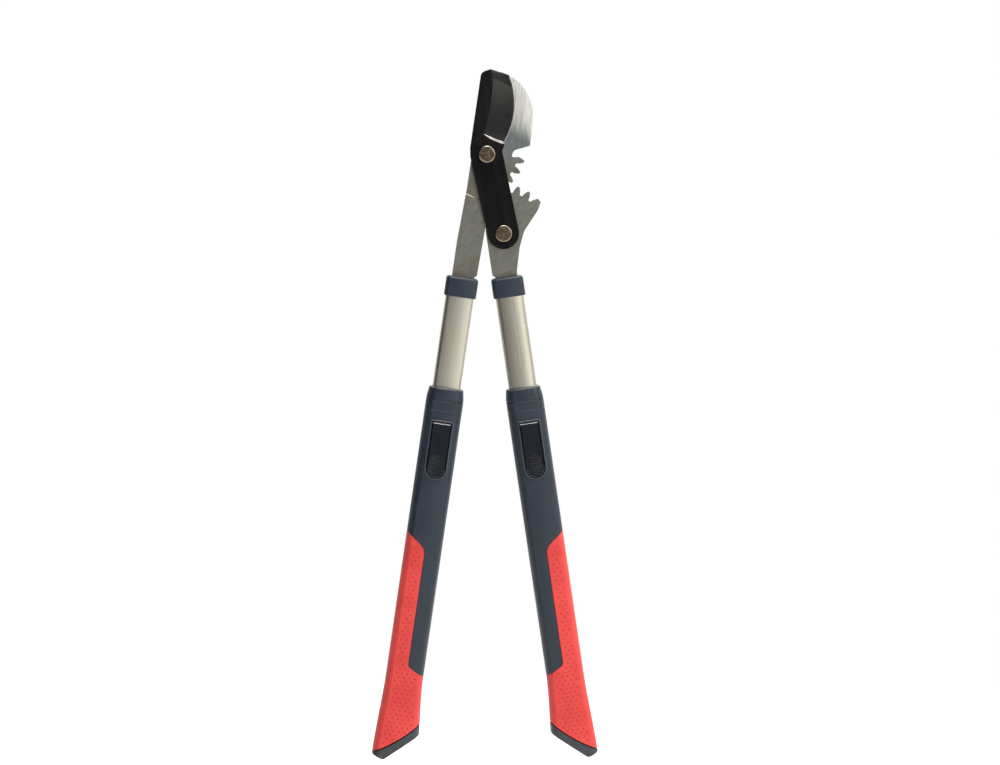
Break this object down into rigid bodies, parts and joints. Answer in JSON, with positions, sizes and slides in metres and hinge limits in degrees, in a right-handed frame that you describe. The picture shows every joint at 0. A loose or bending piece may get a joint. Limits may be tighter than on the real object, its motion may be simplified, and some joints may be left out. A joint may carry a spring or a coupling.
{
  "type": "telescopic lopper",
  "caption": "Geared bypass lopper with a coated blade, a ground hook, and two oval-tube handles that lengthen and lock with rocker buttons.",
  "frame": {"origin": "the crotch between the two tangs where the closed tool hangs on a peg, on the mid-plane of the tang plates", "axes": "+Z towards the blade's tip, +X to the right seen from the front, the front with the blade faces -Y"},
  "size_m": [0.2202, 0.0314, 0.6692],
  "materials": {
    "coated_steel": "satin black non-stick coating with a bright ground edge",
    "ground_steel": "ground bare steel, lengthwise grain",
    "bronzed_steel": "browned face with a bright turned rim",
    "zinc_steel": "zinc plated",
    "satin_aluminium": "satin champagne anodised",
    "housing_plastic": "fine moulded texture",
    "button_plastic": "smooth moulded",
    "grip_rubber": "soft overmould with small dimples",
    "cap_plastic": "fine moulded texture",
    "filler_plastic": "plain moulded"
  },
  "bodies": {
    "hook_arm": {"hook_plate": "ground_steel", "left_collar": "housing_plastic", "left_tube": "satin_aluminium", "left_tang_insert": "filler_plastic", "left_tang_rivet": "zinc_steel", "left_tube_glide": "filler_plastic"},
    "blade": {"blade_plate": "coated_steel", "main_pivot_bolt": "bronzed_steel", "main_pivot_washer": "zinc_steel", "main_lock_nut": "zinc_steel", "lower_pivot_bolt": "bronzed_steel", "lower_pivot_washer": "zinc_steel", "lower_lock_nut": "zinc_steel"},
    "gear_arm": {"gear_plate": "ground_steel", "right_collar": "housing_plastic", "right_tube": "satin_aluminium", "right_tang_insert": "filler_plastic", "right_tang_rivet": "zinc_steel", "right_tube_glide": "filler_plastic"},
    "left_handle": {"left_mouth_ring": "housing_plastic", "left_housing": "housing_plastic", "left_grip": "grip_rubber", "left_end_cap": "cap_plastic", "left_button_pin": "zinc_steel", "left_button_spring": "zinc_steel"},
    "right_handle": {"right_mouth_ring": "housing_plastic", "right_housing": "housing_plastic", "right_grip": "grip_rubber", "right_end_cap": "cap_plastic", "right_button_pin": "zinc_steel", "right_button_spring": "zinc_steel"},
    "left_button": {"left_button": "button_plastic"},
    "right_button": {"right_button": "button_plastic"}
  },
  "joints": [
    {"name": "blade_pivot", "type": "hinge", "parent": "hook_arm", "child": "blade", "pos_m": [0.0018, 0, 0.0954], "axis": [0, -1, 0], "range_deg": [0, 50]},
    {"name": "gear_pivot", "type": "hinge", "parent": "blade", "child": "gear_arm", "pos_m": [0.01792, 0, 0.01888], "axis": [0, -1, 0], "range_deg": [0, 38.47]},
    {"name": "left_extend", "type": "slide", "parent": "hook_arm", "child": "left_handle", "axis": [-0.1452, 0, -0.9894], "range_m": [0, 0.26]},
    {"name": "left_button_rock", "type": "hinge", "parent": "left_handle", "child": "left_button", "pos_m": [-0.04522, -0.0131, -0.18611], "axis": [0.9894, 0, -0.1452], "range_deg": [0, 4.5], "stiffness_Nm_per_rad": 0.35, "springref_deg": -6.88, "deforming": ["left_button_spring"]},
    {"name": "right_extend", "type": "slide", "parent": "gear_arm", "child": "right_handle", "axis": [0.1452, 0, -0.9894], "range_m": [0, 0.26]},
    {"name": "right_button_rock", "type": "hinge", "parent": "right_handle", "child": "right_button", "pos_m": [0.04522, -0.0131, -0.18611], "axis": [0.9894, 0, 0.1452], "range_deg": [0, 4.5], "stiffness_Nm_per_rad": 0.35, "springref_deg": -6.88, "deforming": ["right_button_spring"]}
  ],
  "couplings": [
    {"joint": "gear_pivot", "follows": "blade_pivot", "ratio": 0.76923}
  ]
}
